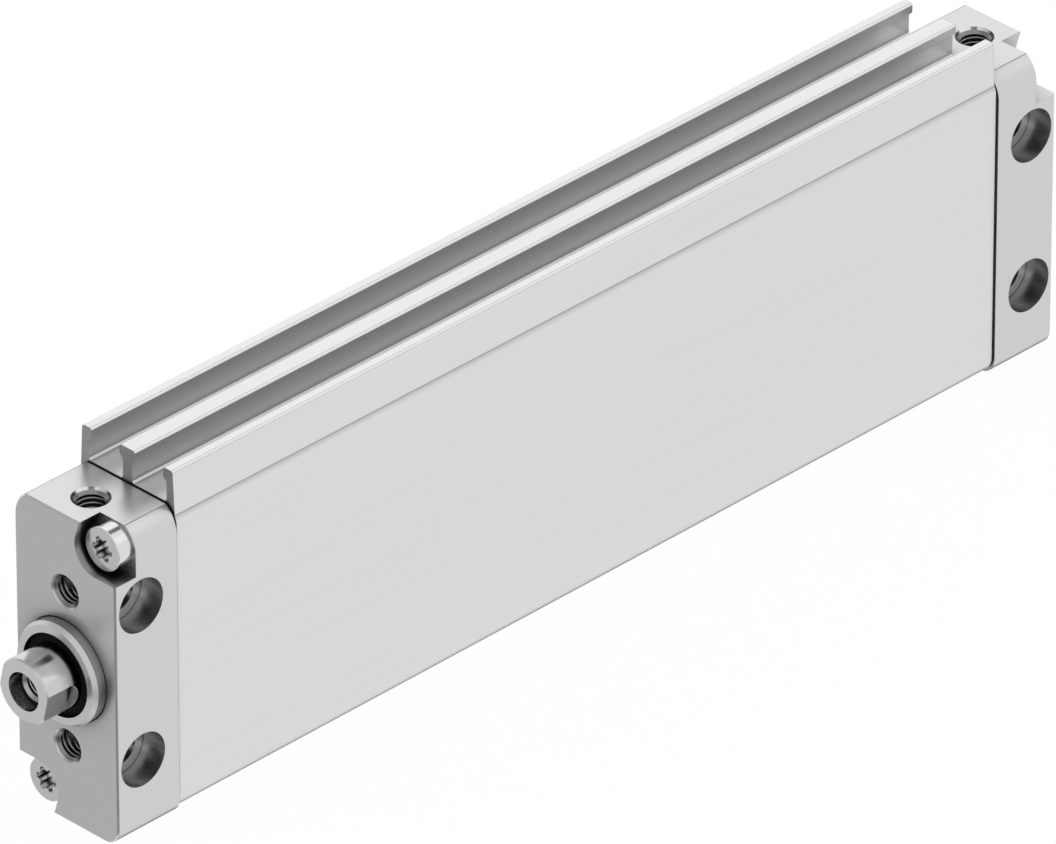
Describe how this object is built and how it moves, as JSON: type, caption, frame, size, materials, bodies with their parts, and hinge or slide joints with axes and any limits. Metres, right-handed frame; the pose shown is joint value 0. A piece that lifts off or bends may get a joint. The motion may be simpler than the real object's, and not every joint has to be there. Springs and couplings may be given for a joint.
{
  "type": "flat pneumatic cylinder",
  "caption": "Flat double-acting air cylinder with an oval piston, a round tapped rod, counterbored end caps and sensor slots along its top.",
  "frame": {"origin": "on the rod's axis at the outer face of the bearing cap, midway between its two tapped holes", "axes": "+X runs from the bearing cap to the end cap, against the rod; -Y is the wide face with the counterbores; +Z is the narrow side with the ports and the sensor slots"},
  "size_m": [0.198, 0.02, 0.0562],
  "materials": {
    "anodised_aluminium": "satin clear anodised extrusion, fine lines along its length",
    "cap_aluminium": "machined, tumbled and clear anodised",
    "collar_aluminium": "turned and clear anodised",
    "stainless_steel": "ground and polished along the shank, milled on the flats",
    "screw_steel": "bright zinc-plated",
    "black_rubber": "black moulded rubber",
    "pad_rubber": "dark moulded rubber",
    "bronze": "sintered bronze",
    "piston_aluminium": "turned and milled",
    "magnet_plastic": "plastic-bonded magnet, matt dark grey",
    "guide_plastic": "natural moulded plastic"
  },
  "bodies": {
    "housing": {"barrel": "anodised_aluminium", "bearing_cap": "cap_aluminium", "end_cap": "cap_aluminium", "front_gasket": "black_rubber", "rear_gasket": "black_rubber", "tie_screw_upper": "screw_steel", "tie_screw_lower": "screw_steel", "centring_collar": "collar_aluminium", "rod_seal": "black_rubber", "rod_bush": "bronze", "front_cushion_pad": "pad_rubber", "rear_cushion_pad": "pad_rubber"},
    "rod": {"piston_rod": "stainless_steel", "piston_front_half": "piston_aluminium", "piston_rear_half": "piston_aluminium", "front_piston_seal": "black_rubber", "rear_piston_seal": "black_rubber", "piston_magnet": "magnet_plastic", "piston_guide_ring": "guide_plastic", "rod_o_ring": "black_rubber", "piston_nut": "screw_steel"}
  },
  "joints": [
    {"name": "rod_slide", "type": "slide", "parent": "housing", "child": "rod", "axis": [-1, 0, 0], "range_m": [0, 0.15]}
  ]
}
